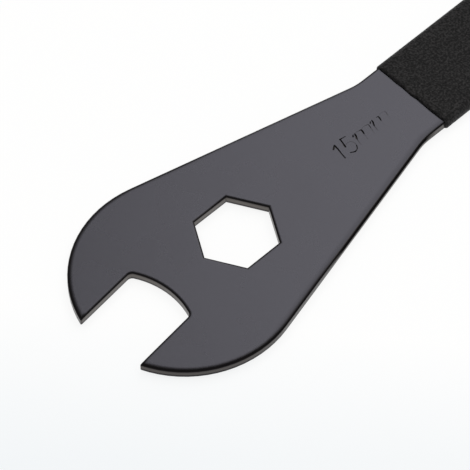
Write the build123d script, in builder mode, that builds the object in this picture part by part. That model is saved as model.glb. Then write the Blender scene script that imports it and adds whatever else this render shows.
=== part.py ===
from build123d import *
import os
from math import cos, radians, sin, sqrt, tan

os.makedirs("parts", exist_ok=True)

# A single-ended cone wrench, in millimetres. It lies flat, with the jaw towards -X and the
# grip towards +X. The origin is on the axis of the hexagonal hole, at the blade's underside,
# and the X axis is the middle line of the handle.

# Blade, pressed from one sheet of steel
plate_t = 2.0  # thickness of the sheet
edge_r = 0.4  # rounding of the upper face's edges, where the punch went in
under_edge_r = 0.25  # rounding of the underside's edges

# Head
head_r = 22.9  # radius of the round head
head_x = -13.7  # where the head is centred
flank_angle = 14.1  # slope of each flank to the handle's middle line, in degrees

# Open jaw, for two flats of 15 mm across
jaw_opening = 15.2  # gap between the two faces
jaw_angle = 6.35  # turn of the jaw from the handle's middle line, in degrees
jaw_root_x = -18.9  # where the jaw's floor crosses the handle's middle line
jaw_floor_r = 16.6  # radius of the curved floor
jaw_corner_r = 1.2  # relief between the floor and each face
jaw_tip_r = 0.25  # rounding of the two tips, seen from above

# Closed hexagon, for a 15 mm nut
hex_flats = 15.0  # across its flats

# Tang, the straight bar that the grip covers
tang_w = 19.0  # width
tang_end_x = 173.5  # its rounded end
neck_r = 25.0  # hollow where each flank runs into the tang

# Grip, a skin of foamed vinyl dipped over the tang
grip_x = 48.8  # where its mouth starts
grip_wall = 0.6  # thickness of the skin
grip_side_r = 1.5  # rounding along its two sides
mouth_wall = 0.4  # thickness at the very mouth, where the lip is softened
mouth_l = 0.4  # length of the softened lip
grip_gap = 0.02  # air between the skin and the tang

# Worked out from the sizes above
upper_r = min(edge_r, 0.45 * plate_t)
under_r = min(under_edge_r, 0.45 * plate_t)
grip_t = plate_t + 2 * grip_wall
grip_w = tang_w + 2 * grip_wall
side_r = min(grip_side_r, 0.48 * grip_t)
slope = radians(flank_angle)
shoulder_x = head_x + head_r * sin(slope)
shoulder_y = head_r * cos(slope)
neck_x = shoulder_x + (shoulder_y - tang_w / 2) / tan(slope)


def rounded_bar(start_x, end_x, width):
    """A flat bar along X, square at its start and fully rounded at its end."""
    with Locations((start_x, 0)):
        Rectangle(end_x - width / 2 - start_x, width, align=(Align.MIN, Align.CENTER))
    with Locations((end_x - width / 2, 0)):
        Circle(width / 2)


def rim(flat):
    """The edges of a bar's flat face or faces, without those across its square start."""
    return flat.edges().filter_by(Axis.Y, reverse=True)


with BuildPart() as blade:
    # A round head, with two straight flanks that it runs into, on a straight tang
    with BuildSketch():
        with Locations((head_x, 0)):
            Circle(head_r)
        with BuildLine():
            Polyline(
                (shoulder_x, shoulder_y),
                (neck_x, tang_w / 2),
                (neck_x, -tang_w / 2),
                (shoulder_x, -shoulder_y),
                close=True,
            )
        make_face()
        rounded_bar(neck_x, tang_end_x, tang_w)
    extrude(amount=plate_t)
    neck_lines = blade.edges().filter_by(Axis.Z).filter_by_position(Axis.X, neck_x - 0.1, neck_x + 0.1)
    fillet(neck_lines, neck_r)

    # The jaw, drawn from its floor outwards and turned about the foot of its middle line
    jaw_turn = radians(jaw_angle)
    jaw_plane = Plane((jaw_root_x, 0, 0), x_dir=(-cos(jaw_turn), -sin(jaw_turn), 0))
    jaw_side = jaw_opening / 2
    floor_rise = jaw_floor_r - sqrt(jaw_floor_r**2 - jaw_side**2)
    past_the_tips = 2 * head_r
    with BuildSketch(jaw_plane) as jaw:
        with BuildLine():
            floor = ThreePointArc((floor_rise, -jaw_side), (0, 0), (floor_rise, jaw_side))
            Polyline(floor @ 1, (past_the_tips, jaw_side), (past_the_tips, -jaw_side), floor @ 0)
        make_face()
        fillet(jaw.vertices().sort_by(Axis.X)[:2], jaw_corner_r)
    extrude(amount=plate_t, mode=Mode.SUBTRACT)
    fillet(blade.edges().filter_by(Axis.Z).sort_by(Axis.X)[:2], jaw_tip_r)

    # The closed hexagon, with two of its flats along the handle
    with BuildSketch():
        RegularPolygon(hex_flats / 2, 6, major_radius=False)
    extrude(amount=plate_t, mode=Mode.SUBTRACT)

    # Every edge of both faces is rounded over
    fillet(blade.faces().sort_by(Axis.Z)[-1].edges(), upper_r)
    fillet(blade.faces().sort_by(Axis.Z)[0].edges(), under_r)

# The room that the tang takes up inside the grip
with BuildPart() as tang_room:
    with BuildSketch(Plane.XY.offset(-grip_gap)):
        rounded_bar(grip_x, tang_end_x + grip_gap, tang_w + 2 * grip_gap)
    extrude(amount=plate_t + 2 * grip_gap)
    fillet(rim(tang_room.faces().sort_by(Axis.Z)[-1]), upper_r + grip_gap)
    fillet(rim(tang_room.faces().sort_by(Axis.Z)[0]), under_r + grip_gap)

with BuildPart() as grip:
    # The skin at its full thickness, closed round the end of the tang
    with BuildSketch(Plane.XY.offset(-grip_wall)):
        rounded_bar(grip_x + mouth_l, tang_end_x + grip_wall, grip_w)
    extrude(amount=grip_t)
    fillet(rim(grip.faces().filter_by(Axis.Z)), side_r)

    # The softened lip of the mouth
    with BuildSketch(Plane.YZ.offset(grip_x + mouth_l)):
        with Locations((0, plate_t / 2)):
            RectangleRounded(grip_w, grip_t, side_r)
    with BuildSketch(Plane.YZ.offset(grip_x)):
        with Locations((0, plate_t / 2)):
            RectangleRounded(tang_w + 2 * mouth_wall, plate_t + 2 * mouth_wall, upper_r + mouth_wall)
    loft()

    add(tang_room.part, mode=Mode.SUBTRACT)

blade.part.label = "blade"
export_step(blade.part, "parts/blade.step")
grip.part.label = "grip"
export_step(grip.part, "parts/grip.step")
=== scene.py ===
import bmesh
import bpy
from math import atan2, ceil, cos, pi, radians, sin, sqrt, tan
from mathutils import Matrix, Vector, noise


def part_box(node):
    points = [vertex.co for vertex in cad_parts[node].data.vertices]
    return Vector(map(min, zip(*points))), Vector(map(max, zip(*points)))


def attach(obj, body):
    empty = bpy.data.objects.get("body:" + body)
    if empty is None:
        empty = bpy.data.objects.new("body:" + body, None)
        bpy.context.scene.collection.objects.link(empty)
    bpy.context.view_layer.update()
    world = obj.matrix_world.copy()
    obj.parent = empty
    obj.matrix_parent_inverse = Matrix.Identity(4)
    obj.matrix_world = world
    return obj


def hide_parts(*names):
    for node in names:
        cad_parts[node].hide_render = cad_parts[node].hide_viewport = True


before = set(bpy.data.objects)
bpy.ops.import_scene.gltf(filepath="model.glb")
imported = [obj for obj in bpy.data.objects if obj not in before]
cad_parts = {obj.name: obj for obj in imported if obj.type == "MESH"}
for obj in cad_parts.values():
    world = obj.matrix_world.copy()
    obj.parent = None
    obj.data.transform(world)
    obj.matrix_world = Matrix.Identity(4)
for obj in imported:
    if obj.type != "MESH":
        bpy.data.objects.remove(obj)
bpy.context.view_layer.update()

# Blade
# One flat pressing of 2 mm carbon steel: a round head with the open jaw and the closed
# hexagon, two straight flanks, and a tang that runs on inside the grip. It is punched from
# sheet, tumbled until both faces are rounded over, and blackened.
blade_low, blade_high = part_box("blade")
sheet_t = blade_high.z - blade_low.z
tang_end_x = blade_high.x
edge_w, edge_t = 0.00055, 0.0003  # rounding of the upper edges: its width and its drop
roll_w, roll_t = 0.0011, 0.00012  # soft roll round the head: its reach from the outline and its drop
roll_from_x, roll_fade = 0.0, 0.012  # where the roll begins, and the length over which it grows
under_edge_r = 0.00025  # rounding of the underside's edges
edge_rings, roll_rings, under_rings = 8, 4, 4  # rings of faces across each of the three
head_r = 0.0229
head_x = -0.0137  # where the head is centred
flank_slope = radians(14.1)  # slope of each flank to the middle line
tang_w = 0.019
neck_r = 0.012  # hollow where each flank runs into the tang
jaw_opening = 0.0152
jaw_turn = radians(6.35)  # turn of the jaw from the middle line
jaw_root_x = -0.0189  # where the jaw's floor crosses the middle line
jaw_floor_r = 0.0166
jaw_corner_r = 0.0012  # relief between the floor and each face
jaw_corner_steps = 8
tip_cut, tip_segments = 0.00028, 3  # softening of the two upright corners at the jaw's tips
tip_reach, tip_bend = 0.0008, radians(20)  # such a corner lies this near to a tip and bends this much
hex_flats = 0.015  # across the hexagon's flats
chord = 0.0012  # longest step along a curve
head_chord = 0.0019  # longest step round the head, and the first step into the jaw
weld_reach = 1e-6  # corners nearer than this become one
flat_share = 0.9  # least share of a flat face's normal that points straight up or down
steel_bend = radians(30)  # bend from which an edge of the blade stays sharp
flat_weight = 100  # lead of the flat faces in the blade's shading


def clamp(value, low=0.0, high=1.0):
    """A value held between two limits."""
    return max(low, min(high, value))


def draw_line(mesh, start, end):
    """Draw one straight edge from a corner, and give the corner at its far end."""
    corner = bmesh.ops.extrude_vert_indiv(mesh, verts=[start])["verts"][0]
    corner.co = Vector((*end, start.co.z))
    return corner


def draw_arc(mesh, start, centre, turn, steps=None):
    """Draw an arc from a corner round a centre, and give the corner at its far end."""
    centre = Vector((*centre, start.co.z))
    if steps is None:
        steps = ceil(abs(turn) * (start.co - centre).length / chord)
    swept = bmesh.ops.spin(mesh, geom=[start], cent=centre, axis=(0, 0, 1), angle=turn, steps=steps)
    return swept["geom_last"][0]


def jaw_point(out, side):
    """A place in the jaw, by its distance out from the floor and its distance across, towards -Y."""
    along = Vector((-cos(jaw_turn), -sin(jaw_turn)))
    across = Vector((sin(jaw_turn), -cos(jaw_turn)))
    return Vector((jaw_root_x, 0)) + out * along + side * across


def jaw_tip(side):
    """Where one face of the jaw meets the round of the head."""
    head_out = -(head_x - jaw_root_x) * cos(jaw_turn)
    head_side = (head_x - jaw_root_x) * sin(jaw_turn)
    return jaw_point(head_out + sqrt(head_r**2 - (side - head_side) ** 2), side)


def head_angle(place):
    """The direction of a place as seen from the middle of the head."""
    return atan2(place.y, place.x - head_x)


shoulder = head_r * Vector((sin(flank_slope), cos(flank_slope)))
neck_x = head_x + shoulder.x + (shoulder.y - tang_w / 2) / tan(flank_slope)
neck_l = neck_r * tan(flank_slope / 2)
neck_start = Vector((neck_x - neck_l * cos(flank_slope), tang_w / 2 + neck_l * sin(flank_slope)))
neck_centre = Vector((neck_x + neck_l, tang_w / 2 + neck_r))
tang_end = Vector((tang_end_x - tang_w / 2, 0))


def draw_outline(mesh, height):
    """The blade's outline and its hexagon, drawn counterclockwise from the jaw's tip on the -Y side."""
    half = jaw_opening / 2
    floor_centre = jaw_point(jaw_floor_r, 0)
    corner_side = half - jaw_corner_r
    corner_out = jaw_floor_r - sqrt((jaw_floor_r - jaw_corner_r) ** 2 - corner_side**2)
    floor_half = atan2(corner_side, jaw_floor_r - corner_out)
    corner_turn = pi / 2 - floor_half
    first_tip, last_tip = jaw_tip(half), jaw_tip(-half)
    first_step = head_chord * (jaw_point(0, half) - first_tip).normalized()
    last_step = head_chord * (jaw_point(0, -half) - last_tip).normalized()
    flank_angle = pi / 2 - flank_slope

    pen = bmesh.ops.create_vert(mesh, co=(*first_tip, height))["vert"][0]
    turn = -flank_angle - head_angle(first_tip)
    pen = draw_arc(mesh, pen, (head_x, 0), turn, steps=ceil(turn * head_r / head_chord))
    pen = draw_line(mesh, pen, (neck_start.x, -neck_start.y))
    pen = draw_arc(mesh, pen, (neck_centre.x, -neck_centre.y), -flank_slope)
    pen = draw_line(mesh, pen, (tang_end.x, -tang_w / 2))
    pen = draw_arc(mesh, pen, tang_end, pi)
    pen = draw_line(mesh, pen, (neck_centre.x, tang_w / 2))
    pen = draw_arc(mesh, pen, neck_centre, -flank_slope)
    pen = draw_line(mesh, pen, (head_x + shoulder.x, shoulder.y))
    turn = head_angle(last_tip) - flank_angle
    pen = draw_arc(mesh, pen, (head_x, 0), turn, steps=ceil(turn * head_r / head_chord))
    pen = draw_line(mesh, pen, last_tip + last_step)
    pen = draw_line(mesh, pen, jaw_point(corner_out, -half))
    pen = draw_arc(mesh, pen, jaw_point(corner_out, -corner_side), -corner_turn, jaw_corner_steps)
    pen = draw_arc(mesh, pen, floor_centre, -2 * floor_half)
    pen = draw_arc(mesh, pen, jaw_point(corner_out, corner_side), -corner_turn, jaw_corner_steps)
    pen = draw_line(mesh, pen, first_tip + first_step)
    draw_line(mesh, pen, first_tip)
    turned = Matrix.Translation((0, 0, height)) @ Matrix.Rotation(pi / 6, 4, "Z")
    bmesh.ops.create_circle(mesh, segments=6, radius=hex_flats / sqrt(3), matrix=turned)
    bmesh.ops.remove_doubles(mesh, verts=mesh.verts[:], dist=weld_reach)


def from_outline(place):
    """How far a place lies in from the outline of the blank, before the jaw and the hexagon are cut."""
    x, y = place.x, abs(place.y)
    if atan2(y, x - head_x) > pi / 2 - flank_slope:
        return head_r - Vector((x - head_x, y)).length
    if x < neck_start.x:
        return head_r - (x - head_x) * sin(flank_slope) - y * cos(flank_slope)
    if x < neck_centre.x:
        return (Vector((x, y)) - neck_centre).length - neck_r
    if x < tang_end.x:
        return tang_w / 2 - y
    return tang_w / 2 - Vector((x - tang_end.x, y)).length


def round_over(mesh, facing, width, drop, rings):
    """Round the edges of one face by letting it in ring by ring along a quarter of an oval."""
    face = [f for f in mesh.faces if f.normal.z * facing > flat_share]
    for ring in range(rings):
        low, high = ring * pi / 2 / rings, (ring + 1) * pi / 2 / rings
        bmesh.ops.inset_region(
            mesh,
            faces=face,
            thickness=width * (cos(low) - cos(high)),
            depth=drop * (sin(high) - sin(low)),
            use_boundary=True,
            use_even_offset=True,
        )
    return face


def roll_down(mesh, face):
    """Let the face fall away softly towards the round of the head, as the punch drags it down."""
    step = (roll_w - edge_w) / roll_rings
    for ring in range(roll_rings):
        bmesh.ops.inset_region(
            mesh, faces=face, thickness=step, use_boundary=True, use_even_offset=True
        )
    for vert in mesh.verts:
        inward = from_outline(vert.co)
        if inward < roll_w and vert.co.z > sheet_t / 2:
            share = clamp((roll_from_x - vert.co.x) / roll_fade)
            vert.co.z -= share * roll_t * (1 - inward / roll_w) ** 2


def soften_tips(mesh):
    """Take the sharpness off the two upright corners at the tips of the jaw."""
    tips = [jaw_tip(jaw_opening / 2), jaw_tip(-jaw_opening / 2)]
    corners = []
    for edge in mesh.edges:
        ends = [v.co.to_2d() for v in edge.verts]
        at_tip = any(all((end - tip).length < tip_reach for end in ends) for tip in tips)
        if at_tip and edge.calc_face_angle(0) > tip_bend:
            corners.append(edge)
    bmesh.ops.bevel(
        mesh,
        geom=corners,
        offset=tip_cut,
        segments=tip_segments,
        profile=0.5,
        affect="EDGES",
        material=-1,
    )


def finish_object(name, mesh):
    """Make a mesh into an object of its own."""
    data = bpy.data.meshes.new(name)
    mesh.to_mesh(data)
    mesh.free()
    piece = bpy.data.objects.new(name, data)
    bpy.context.scene.collection.objects.link(piece)
    return piece


steel = bmesh.new()
draw_outline(steel, blade_low.z + under_edge_r)
bmesh.ops.triangle_fill(steel, use_beauty=True, edges=steel.edges[:], normal=(0, 0, 1))
raised = bmesh.ops.extrude_face_region(steel, geom=steel.faces[:], use_keep_orig=True)
raised = [g for g in raised["geom"] if isinstance(g, bmesh.types.BMVert)]
bmesh.ops.translate(steel, verts=raised, vec=(0, 0, sheet_t - under_edge_r - edge_t))
bmesh.ops.recalc_face_normals(steel, faces=steel.faces[:])
upper_face = round_over(steel, 1, edge_w, edge_t, edge_rings)
roll_down(steel, upper_face)
round_over(steel, -1, under_edge_r, under_edge_r, under_rings)
soften_tips(steel)
blade = finish_object("steel_blade", steel)

# Size mark
# The plain size of the jaw, struck into the upper face with single-stroke punches, leaning
# to the right. The stamp bit unevenly, so that some strokes are deep and others only graze.
mark_x, mark_y = 0.02785, -0.0021  # foot of the first digit
mark_unit = 0.001  # the glyphs are drawn in millimetres
mark_lean = tan(radians(9.5))
punch_w = 0.00046  # width of a full stroke at the face
punch_tip = 0.00014  # its width at the bottom
punch_depth = 0.0003
punch_above = 0.00005  # how far the cutter stands out of the face
punch_sides = 12
punch_least = 0.35  # share of the width that the faintest stroke keeps


def bow(centre, across, up, start, turn, press, steps=7):
    """Points on a part of an oval: its half width and half height, two angles, and two pressures."""
    points = []
    for step in range(steps + 1):
        share = step / steps
        a = radians(start + turn * share)
        depth = press[0] + (press[1] - press[0]) * share
        points.append((centre[0] + across * cos(a), centre[1] + up * sin(a), depth))
    return points


def letter_m(x, gap, press, last):
    """An m by its first stem, the gap between its stems, and the press of its first and last stem."""
    strokes = [
        [(x - 0.35, 2.75, 0.7 * press), (x - 0.1, 3.05, 0.5 * press)],
        [(x + 0.35, 3.1, 0.4 * press), (x + 0.3, 2.65, press), (x, 1.9, 0.85 * press)],
        [(x, 1.9, 0.2), (x - 0.1, 1.2, 0.12), (x - 0.1, 0.3, 0.04)],
    ]
    for start, bite in ((x, 0.95 * press), (x + gap, last)):
        end = start + gap
        arch = bow((start + gap / 2, 2.3), gap / 2, 0.8, 150, -90, (0.1 * last, 0.3 * last))
        strokes.append([(start + 0.1, 2.1, 0.1 * last), *arch, (end + 0.1, 2.9, 0.5 * bite)])
        strokes.append([(end + 0.1, 2.9, 0.5 * bite), (end + 0.1, 2.4, bite), (end, 1.8, 0.5 * bite)])
        strokes.append([(end, 1.8, 0.3 * last), (end - 0.15, 0.3, 0.12 * last)])
    return strokes


# Each stroke is a row of points: how far along the mark, how far up, and how hard it was pressed
mark_strokes = [
    [(-0.76, 3.2, 0.8), (0.0, 3.75, 1.0), (0.08, 2.8, 0.75), (0.0, 1.3, 0.5), (0.0, 0.15, 0.55)],
    [(3.14, 3.9, 0.3), (2.5, 3.98, 0.3), (1.8, 4.1, 0.75), (1.8, 3.4, 0.7), (1.63, 2.07, 1.0)],
    [(1.63, 2.07, 0.2), *bow((2.6, 1.2), 1.2, 1.3, 130, -150, (0.04, 0.12))],
    [(3.73, 0.8, 0.5), (3.5, 0.25, 0.4), (3.1, -0.05, 0.3), (2.6, -0.13, 0.65), (1.65, 0.35, 0.4)],
    *letter_m(4.72, 1.95, 1.0, 0.3),
    *letter_m(9.57, 1.9, 0.8, 0.12),
]


def strike(mesh, start, end):
    """One straight run of the punch, as the hull round its two ends."""
    rings = []
    for x, y, press in (start, end):
        x, y, bite = x * mark_unit, y * mark_unit, punch_least + (1 - punch_least) * press
        foot = Vector((mark_x + x + mark_lean * y, mark_y + y, blade_high.z))
        for width, height in ((punch_w * bite, punch_above), (punch_tip * bite, -punch_depth * press)):
            place = Matrix.Translation(foot + Vector((0, 0, height)))
            ring = bmesh.ops.create_circle(mesh, segments=punch_sides, radius=width / 2, matrix=place)
            rings += ring["verts"]
    hull = bmesh.ops.convex_hull(mesh, input=rings)
    inside = [g for g in hull["geom_interior"] if isinstance(g, bmesh.types.BMVert)]
    bmesh.ops.delete(mesh, geom=inside, context="VERTS")


punch = bmesh.new()
for stroke in mark_strokes:
    for start, end in zip(stroke, stroke[1:]):
        strike(punch, start, end)
bmesh.ops.recalc_face_normals(punch, faces=punch.faces[:])
punch = finish_object("mark_punch", punch)
struck = blade.modifiers.new("size mark", "BOOLEAN")
struck.operation = "DIFFERENCE"
struck.solver = "EXACT"
struck.use_self = True
struck.object = punch
marked = bpy.data.meshes.new_from_object(blade.evaluated_get(bpy.context.evaluated_depsgraph_get()))
blade.modifiers.clear()
blade.data = marked
bpy.data.objects.remove(punch)
blade.data.shade_smooth()
blade.data.set_sharp_from_angle(angle=steel_bend)
flat = blade.modifiers.new("flat faces", "WEIGHTED_NORMAL")
flat.keep_sharp = True
flat.weight = flat_weight


class Wiring:
    """The nodes of one material, world or group, placed and joined by short calls."""

    def __init__(self, tree):
        self.tree = tree

    def feed(self, node, inputs):
        """Set a node's inputs, by name or number, each to a value or to another node's output."""
        for key, value in inputs.items():
            if isinstance(value, bpy.types.NodeSocket):
                self.tree.links.new(value, node.inputs[key])
            else:
                node.inputs[key].default_value = value

    def add(self, kind, inputs=None, **settings):
        """A node with its settings and its inputs."""
        node = self.tree.nodes.new(kind)
        for name, value in settings.items():
            setattr(node, name, value)
        self.feed(node, inputs or {})
        return node

    def combine(self, operation, first, second):
        """Two numbers taken together by one step of arithmetic."""
        node = self.add("ShaderNodeMath", {0: first, 1: second}, operation=operation)
        return node.outputs["Value"]

    def combine_vectors(self, operation, first, second, output="Vector"):
        """Two vectors or colours taken together by one step of arithmetic."""
        node = self.add("ShaderNodeVectorMath", {0: first, 1: second}, operation=operation)
        return node.outputs[output]

    def fade(self, value, start, end, low=0.0, high=1.0):
        """A number that goes from low to high as a value goes from its start to its end."""
        limits = {"Value": value, "From Min": start, "From Max": end, "To Min": low, "To Max": high}
        return self.add("ShaderNodeMapRange", limits).outputs["Result"]

    def ramp(self, share, stops):
        """A colour that changes with a share, by stops that are each a share and a colour."""
        node = self.add("ShaderNodeValToRGB", {"Fac": share})
        elements = node.color_ramp.elements
        elements.remove(elements[1])
        elements[0].position, elements[0].color = stops[0]
        for position, colour in stops[1:]:
            elements.new(position).color = colour
        return node.outputs["Color"]

    def blend(self, share, first, second):
        """One colour that gives way to another by a share."""
        inputs = {"Factor": share, 6: first, 7: second}  # 6, 7 and output 2 are the node's colours
        return self.add("ShaderNodeMix", inputs, data_type="RGBA").outputs[2]


def clear_wiring(holder):
    """The nodes of a material or a world, emptied."""
    holder.use_nodes = True
    holder.node_tree.nodes.clear()
    return Wiring(holder.node_tree)


def new_material(name):
    """A material with one Principled shader joined to its output, and the place on the object."""
    material = bpy.data.materials.new(name)
    wiring = clear_wiring(material)
    shader = wiring.add("ShaderNodeBsdfPrincipled")
    wiring.add("ShaderNodeOutputMaterial", {"Surface": shader.outputs["BSDF"]})
    place = wiring.add("ShaderNodeTexCoord").outputs["Object"]
    return material, wiring, shader, place


# Cloudy shade and fine grit, in one group that both finishes use
cloud_detail, grit_detail = 4.0, 3.0
cloud_and_grit = bpy.data.node_groups.new("cloud_and_grit", "ShaderNodeTree")
cloud_and_grit.interface.new_socket("Place", in_out="INPUT", socket_type="NodeSocketVector")
for label in ("Cloud", "Grit"):
    cloud_and_grit.interface.new_socket(f"{label} Size", in_out="INPUT", socket_type="NodeSocketFloat")
    cloud_and_grit.interface.new_socket(label, in_out="OUTPUT", socket_type="NodeSocketFloat")
wiring = Wiring(cloud_and_grit)
given = wiring.add("NodeGroupInput").outputs
made = wiring.add("NodeGroupOutput")
for label, detail in (("Cloud", cloud_detail), ("Grit", grit_detail)):
    inputs = {"Vector": given["Place"], "Scale": given[f"{label} Size"], "Detail": detail}
    texture = wiring.add("ShaderNodeTexNoise", inputs)
    wiring.feed(made, {label: texture.outputs["Fac"]})
cloud_range = (0.3, 0.7)  # most of the clouds lie between these


def add_spread(wiring, place, cloud_size, grit_size, grain, grain_height):
    """Clouds, grit and the grit as a bump, at the sizes and the strength of one finish."""
    sizes = {"Place": place, "Cloud Size": cloud_size, "Grit Size": grit_size}
    spread = wiring.add("ShaderNodeGroup", sizes, node_tree=cloud_and_grit).outputs
    heights = {"Height": spread["Grit"], "Strength": grain, "Distance": grain_height}
    bump = wiring.add("ShaderNodeBump", heights)
    return spread["Cloud"], spread["Grit"], bump.outputs["Normal"]


# Blackened finish of the blade, with painted light and shade on its rims and walls
face_grey = (0.098, 0.096, 0.11, 1)
# painted shade: the grey and black of the rounded rims, above and below, stand in for the dark room
# they mirror
rim_painted_half_shade = (0.06, 0.057, 0.063, 1)
rim_painted_shade = (0.022, 0.02, 0.021, 1)
# painted shade: the dark bands at the foot of the walls and next to the rims
wall_painted_shade = (0.062, 0.056, 0.054, 1)
wall_mid = (0.085, 0.077, 0.073, 1)
wall_pale = (0.1, 0.092, 0.087, 1)
# painted reflection: the pale lower part of the punched walls, where they mirror the white table
wall_painted_reflection = (0.135, 0.124, 0.116, 1)
# painted highlight: the bright line at the foot of the flank walls
wall_painted_highlight = (0.42, 0.4, 0.39, 1)
# painted shade: the matt black upper part of the flank walls
flank_painted_shade = (0.008, 0.0075, 0.0075, 1)
none, full = (0, 0, 0, 1), (1, 1, 1, 1)
steel_cloud, steel_grit = 90.0, 5200.0  # how many lie along a metre
steel_grain, steel_grain_height = 0.25, 0.00002  # strength and height of the bump
steel_shade = (0.94, 1.06)
steel_roughness = (0.24, 0.3)
# painted shade: the face is darkened in a band along its -Y side
side_range, painted_side_shade = (0.0005, 0.0015), (0.74, 1.0)  # the darker band along the -Y side

# The tone by height, as shares of the sheet's thickness from the underside up, with painted light
# and shade in its bands. The rims above and below are painted black as painted shade. The punched
# walls are painted paler low down as a painted reflection, above a painted dark band at their foot.
# The outside of the head is painted darker than the walls of the jaw, the hexagon and the tang, as
# painted shade, and along the flanks a painted highlight runs at the foot and the upper part is
# painted matt black as painted shade.
under_stops = ((0.002, face_grey), (0.01, rim_painted_shade), (0.1, rim_painted_shade))
upper_stops = ((0.998, face_grey),)
cut_stops = (
    (0.14, rim_painted_half_shade), (0.29, wall_painted_shade), (0.42, wall_painted_reflection), (0.62, wall_painted_reflection), (0.82, wall_mid),
    (0.89, rim_painted_shade), (0.97, rim_painted_shade), (0.99, rim_painted_half_shade),
)
round_stops = (
    (0.14, rim_painted_shade), (0.3, rim_painted_shade), (0.44, wall_mid), (0.6, wall_mid), (0.76, wall_painted_shade),
    (0.85, rim_painted_shade), (0.97, rim_painted_shade), (0.99, rim_painted_half_shade),
)
flank_stops = (
    (0.13, wall_painted_highlight), (0.26, wall_pale), (0.42, wall_painted_shade), (0.55, flank_painted_shade),
    (0.9, flank_painted_shade), (0.94, rim_painted_shade), (0.97, wall_mid), (0.985, face_grey),
)
# where the flank walls are painted matt black, as painted shade
flank_shade_stops = ((0.36, none), (0.52, full), (0.9, full), (0.95, none))

# Where the outside of the head and of the flanks begins and ends, each faded between two places
outside_r = (0.0222, 0.0226)  # from the middle of the head
head_end_x = (0.012, 0.004)
flank_start_x, flank_end_x = (0.004, 0.012), (0.046, 0.043)
flank_start_y = (0.008, 0.009)  # past the walls of the hexagon

blackened, wiring, shader, place = new_material("blackened_steel")
x, y, z = wiring.add("ShaderNodeSeparateXYZ", {"Vector": place}).outputs
height = wiring.fade(z, blade_low.z, blade_high.z)
cut_wall, round_wall, flank_wall = (
    wiring.ramp(height, under_stops + wall + upper_stops)
    for wall in (cut_stops, round_stops, flank_stops)
)
level = wiring.combine_vectors("MULTIPLY", place, (1, 1, 0))  # the place without its height
away = wiring.combine_vectors("DISTANCE", level, (head_x, 0, 0), output="Value")
on_head = wiring.combine("MULTIPLY", wiring.fade(away, *outside_r), wiring.fade(x, *head_end_x))
beside = wiring.add("ShaderNodeMath", {0: y}, operation="ABSOLUTE").outputs["Value"]
past_head = wiring.combine("MULTIPLY", wiring.fade(x, *flank_start_x), wiring.fade(x, *flank_end_x))
on_flank = wiring.combine("MULTIPLY", past_head, wiring.fade(beside, *flank_start_y))
tone_and_painted_light = wiring.blend(on_flank, wiring.blend(on_head, cut_wall, round_wall), flank_wall)
# painted shade: the flank walls lose their metal where they are painted matt black
flank_shade_part = wiring.combine("MULTIPLY", on_flank, wiring.ramp(height, flank_shade_stops))

# How far a place lies in from the -Y side, where painted shade darkens the face
flank_in = wiring.combine_vectors(
    "DOT_PRODUCT", place, (-sin(flank_slope), cos(flank_slope), 0), output="Value"
)
flank_in = wiring.combine("ADD", flank_in, head_r + head_x * sin(flank_slope))
side_in = wiring.combine("MAXIMUM", flank_in, wiring.combine("ADD", y, tang_w / 2))
cloud, grit, normal = add_spread(
    wiring, place, steel_cloud, steel_grit, steel_grain, steel_grain_height
)
# the cloudy tone, times the painted shade along the -Y side
shade = wiring.combine(
    "MULTIPLY",
    wiring.fade(cloud, *cloud_range, *steel_shade),
    wiring.fade(side_in, *side_range, *painted_side_shade),
)
wiring.feed(shader, {
    "Base Color": wiring.combine_vectors("MULTIPLY", tone_and_painted_light, shade),
    "Metallic": wiring.combine("SUBTRACT", 1.0, flank_shade_part),
    "Roughness": wiring.fade(cloud, *cloud_range, *steel_roughness),
    "Specular IOR Level": 0.0,
    "Normal": normal,
})
blade.data.materials.clear()
blade.data.materials.append(blackened)
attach(blade, "root")
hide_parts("blade")

# Grip
# A skin of black foamed vinyl, about 0.6 mm thick, made by dipping the warm tang. It is
# closed round the tang's end, and its mouth is the slightly wavy line where the dip stopped.
grip_low, grip_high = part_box("grip")
grip_x = grip_low.x
mid_z = (grip_low.z + grip_high.z) / 2
end_centre = Vector((grip_high.x - grip_high.y, 0, mid_z))
side_r = 0.0015  # rounding along its two sides
lip_r = 0.0002  # softening of the mouth's outer edge
gap = 0.00002  # air between the skin and the tang
quad = 0.00027  # length of the skin's faces
granule = 0.0006  # size of the foam's granules
granule_depth = 0.00004
grain_seed = Vector((3.7, 1.9, 5.3))
mouth_wave = 0.0002  # how far the mouth's line wanders
mouth_wave_rate = 450  # and how quickly
mouth_ahead = 0.0003  # how far the mouth lies in front of the solid's
mouth_fade = 0.003  # length over which the skin follows the mouth
flat_steps, corner_steps, side_steps = 32, 9, 1  # half across the bar, round a corner, down a side
skin_end_steps = 110  # round the bar's end
core_length_step, core_end_steps = 0.03, 24
whole_length = 0.9  # least share of the bar's length that makes an edge a lengthwise one
vinyl_bend = radians(70)  # bend from which an edge of the grip stays sharp
vinyl_black = (0.0108, 0.0102, 0.0102)
vinyl_specular = 0.2
vinyl_cloud, vinyl_grit = 260.0, 2250.0
vinyl_grain, vinyl_grain_height = 0.9, 0.0003
grit_range = (0.42, 0.68)  # the grit that shows lies between these
vinyl_grit_shade, vinyl_cloud_shade = (0.33, 2.4), (0.8, 1.25)
vinyl_roughness = (0.48, 0.6)


def sweep(mesh, geom, move, steps):
    """Carry geometry along in equal steps, and give what lies at its far end."""
    return bmesh.ops.spin(
        mesh, geom=geom, axis=(1, 0, 0), cent=(0, 0, 0), angle=0, dvec=Vector(move) / steps, steps=steps
    )["geom_last"]


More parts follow.
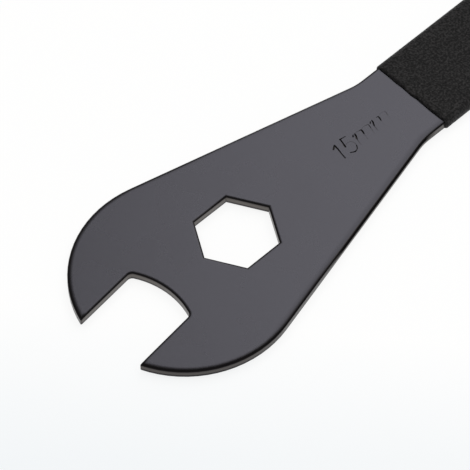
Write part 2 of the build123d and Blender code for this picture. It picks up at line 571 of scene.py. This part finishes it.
def draw_half_section(mesh, half_w, half_t, corner_r):
    """Half of the bar's rounded section, from its top middle round the +Y side to its bottom middle."""
    flat, side = half_w - corner_r, 2 * (half_t - corner_r)
    pen = bmesh.ops.create_vert(mesh, co=(grip_x, 0, mid_z + half_t))["vert"]
    pen = sweep(mesh, pen, (0, flat, 0), flat_steps)
    down_side = (side / 2, (0, 0, -side), side_steps)
    back_across = (-side / 2, (0, -flat, 0), flat_steps)
    for height, move, steps in (down_side, back_across):
        centre = (grip_x, flat, mid_z + height)
        pen = bmesh.ops.spin(
            mesh, geom=pen, cent=centre, axis=(1, 0, 0), angle=-pi / 2, steps=corner_steps
        )["geom_last"]
        pen = sweep(mesh, pen, move, steps)


def sweep_bar(mesh, half_w, half_t, corner_r, length_step, end_steps):
    """A bar, open at its mouth, whose half section goes out, round the end and back."""
    draw_half_section(mesh, half_w, half_t, corner_r)
    length = end_centre.x - grip_x
    section = mesh.verts[:] + mesh.edges[:]
    section = sweep(mesh, section, (length, 0, 0), 1)
    section = bmesh.ops.spin(
        mesh, geom=section, cent=end_centre, axis=(0, 0, 1), angle=-pi, steps=end_steps
    )["geom_last"]
    sweep(mesh, section, (-length, 0, 0), 1)
    bmesh.ops.remove_doubles(mesh, verts=mesh.verts[:], dist=weld_reach)
    lengthwise = [e for e in mesh.edges if e.calc_length() > whole_length * length]
    cuts = ceil(length / length_step) - 1
    bmesh.ops.subdivide_edges(mesh, edges=lengthwise, cuts=cuts, use_grid_fill=True)


def outward(place, half_w, half_t, corner_r):
    """The direction in which the skin faces there, across the bar."""
    flat, side = half_w - corner_r, half_t - corner_r
    across = Vector((0, place.y, place.z - mid_z))
    middle = Vector((0, clamp(place.y, -flat, flat), clamp(place.z - mid_z, -side, side)))
    return (across - middle).normalized()


# The skin's outside, with its lip softened and its granules pressed in
skin_half_w, skin_half_t = grip_high.y, grip_high.z - mid_z
vinyl = bmesh.new()
sweep_bar(vinyl, skin_half_w, skin_half_t, side_r, quad, skin_end_steps)
bmesh.ops.recalc_face_normals(vinyl, faces=vinyl.faces[:])
vinyl.normal_update()
for vert in vinyl.verts:
    lip = clamp(1 - (vert.co.x - grip_x) / lip_r)
    softened = lip_r * (1 - sqrt(1 - lip**2))
    vert.co -= softened * outward(vert.co, skin_half_w, skin_half_t, side_r)
for vert in vinyl.verts:
    cell = noise.voronoi(vert.co / granule + grain_seed)[0][0]
    vert.co -= granule_depth * min(1.0, cell) * vert.normal

# Its inside, round the tang, joined to the outside at the mouth
core = bmesh.new()
sweep_bar(
    core, tang_w / 2 + gap, sheet_t / 2 + gap, under_edge_r + gap, core_length_step, core_end_steps
)
core_data = bpy.data.meshes.new("core")
core.to_mesh(core_data)
core.free()
vinyl.from_mesh(core_data)
bpy.data.meshes.remove(core_data)
bmesh.ops.bridge_loops(vinyl, edges=[e for e in vinyl.edges if e.is_boundary])
bmesh.ops.recalc_face_normals(vinyl, faces=vinyl.faces[:])
for vert in vinyl.verts:
    share = max(0.0, 1 - (vert.co.x - grip_x) / mouth_fade)
    if share > 0:
        wave = noise.noise(Vector((0, vert.co.y, vert.co.z)) * mouth_wave_rate + grain_seed)
        vert.co.x += share * (mouth_wave * (0.5 + wave) - mouth_ahead)
grip = finish_object("vinyl_grip", vinyl)
grip.data.shade_smooth()
grip.data.set_sharp_from_angle(angle=vinyl_bend)

foamed, wiring, shader, place = new_material("foamed_vinyl")
cloud, grit, normal = add_spread(
    wiring, place, vinyl_cloud, vinyl_grit, vinyl_grain, vinyl_grain_height
)
shade = wiring.combine(
    "MULTIPLY",
    wiring.fade(grit, *grit_range, *vinyl_grit_shade),
    wiring.fade(cloud, *cloud_range, *vinyl_cloud_shade),
)
wiring.feed(shader, {
    "Base Color": wiring.combine_vectors("MULTIPLY", vinyl_black, shade),
    "Roughness": wiring.fade(cloud, *cloud_range, *vinyl_roughness),
    "Specular IOR Level": vinyl_specular,
    "Normal": normal,
})
grip.data.materials.append(foamed)
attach(grip, "root")
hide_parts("grip")

# Table and light
# A white table just under the grip, with painted shade that makes it darker and cooler towards
# the -X -Y side, in a room that is white near the floor and grey above it. The flat face
# mirrors a soft panel towards the camera, and a broad soft fill hangs overhead.
table_size = 6.0
table_sides = 96
table_x = 0.07  # its middle, under the middle of the wrench
table_white = (0.93, 0.93, 0.94, 1)
# painted shade: the floor turns darker and cooler towards the -X -Y side
floor_white, floor_painted_shade = (1.0, 1.0, 0.995, 1), (0.78, 0.835, 0.87, 1)
floor_strength = 1.01
cool_way, cool_range = (-0.77, -0.64, 0), (0.02, 0.09)  # where the floor goes from white to cool
seen_share, mirrored_share = 0.86, 0.55  # share of the floor's even tone, as seen and as mirrored
room_stops = ((0.05, (1, 1, 1, 1)), (0.2, (0.32, 0.32, 0.32, 1)))  # by the height of a direction
panel_power = 4.0  # watts for each square metre of a panel of brightness 1
camera_place = Vector((-0.257284, -0.265978, 0.526905))
camera_aim = Vector((-0.000783, -0.000304, 0.001986))
camera_roll = radians(0.166)
camera_sensor, camera_lens = 36.0, 252.58

board = bmesh.new()
table_place = Matrix.Translation((table_x, 0, grip_low.z))
bmesh.ops.create_circle(
    board, cap_ends=True, segments=table_sides, radius=table_size / 2, matrix=table_place
)
table = finish_object("table", board)
white = bpy.data.materials.new("white_table")
wiring = clear_wiring(white)
light_path = wiring.add("ShaderNodeLightPath").outputs
seen = wiring.combine("MAXIMUM", light_path["Is Camera Ray"], light_path["Is Transmission Ray"])
share = wiring.combine(
    "MAXIMUM",
    wiring.combine("MULTIPLY", seen, seen_share),
    wiring.combine("MULTIPLY", light_path["Is Glossy Ray"], mirrored_share),
)
place = wiring.add("ShaderNodeTexCoord").outputs["Object"]
across = wiring.combine_vectors("DOT_PRODUCT", place, cool_way, output="Value")
tone = wiring.ramp(wiring.fade(across, *cool_range), ((0.0, floor_white), (1.0, floor_painted_shade)))
lit = wiring.add("ShaderNodeBsdfDiffuse", {"Color": table_white}).outputs["BSDF"]
plain = wiring.add("ShaderNodeEmission", {"Color": tone, "Strength": floor_strength})
mixed = wiring.add("ShaderNodeMixShader", {"Fac": share, 1: lit, 2: plain.outputs["Emission"]})
wiring.add("ShaderNodeOutputMaterial", {"Surface": mixed.outputs["Shader"]})
table.data.materials.append(white)


def add_panel(name, azimuth, elevation, distance, size, brightness):
    """A soft rectangular panel that faces the wrench, by its direction in degrees."""
    a, e = radians(azimuth), radians(elevation)
    toward = Vector((cos(a) * cos(e), sin(a) * cos(e), sin(e)))
    lamp = bpy.data.lights.new(name, "AREA")
    lamp.shape = "RECTANGLE"
    lamp.size, lamp.size_y = size
    lamp.energy = brightness * panel_power * size[0] * size[1]
    holder = bpy.data.objects.new(name, lamp)
    bpy.context.scene.collection.objects.link(holder)
    holder.location = distance * toward
    holder.rotation_euler = (-toward).to_track_quat("-Z", "Y").to_euler()
    holder.visible_camera = False
    return holder


add_panel("key_panel", azimuth=16, elevation=47, distance=1.2, size=(1.0, 0.85), brightness=0.81)
fill = add_panel("fill_panel", azimuth=0, elevation=90, distance=2.0, size=(3.0, 3.0), brightness=1.0)
fill.visible_glossy = False

world = bpy.data.worlds.new("studio")
bpy.context.scene.world = world
wiring = clear_wiring(world)
direction = wiring.add("ShaderNodeTexCoord").outputs["Generated"]
upward = wiring.add("ShaderNodeSeparateXYZ", {"Vector": direction}).outputs["Z"]
air = wiring.add("ShaderNodeBackground", {"Color": wiring.ramp(upward, room_stops)})
wiring.add("ShaderNodeOutputWorld", {"Surface": air.outputs["Background"]})

camera = bpy.data.objects.new("camera", bpy.data.cameras.new("camera"))
bpy.context.scene.collection.objects.link(camera)
camera.data.sensor_width = camera_sensor
camera.data.lens = camera_lens
camera.location = camera_place
camera.rotation_euler = (camera_aim - camera_place).to_track_quat("-Z", "Y").to_euler()
camera.rotation_euler.rotate_axis("Z", camera_roll)
bpy.context.scene.camera = camera
bpy.context.scene.view_settings.view_transform = "Standard"
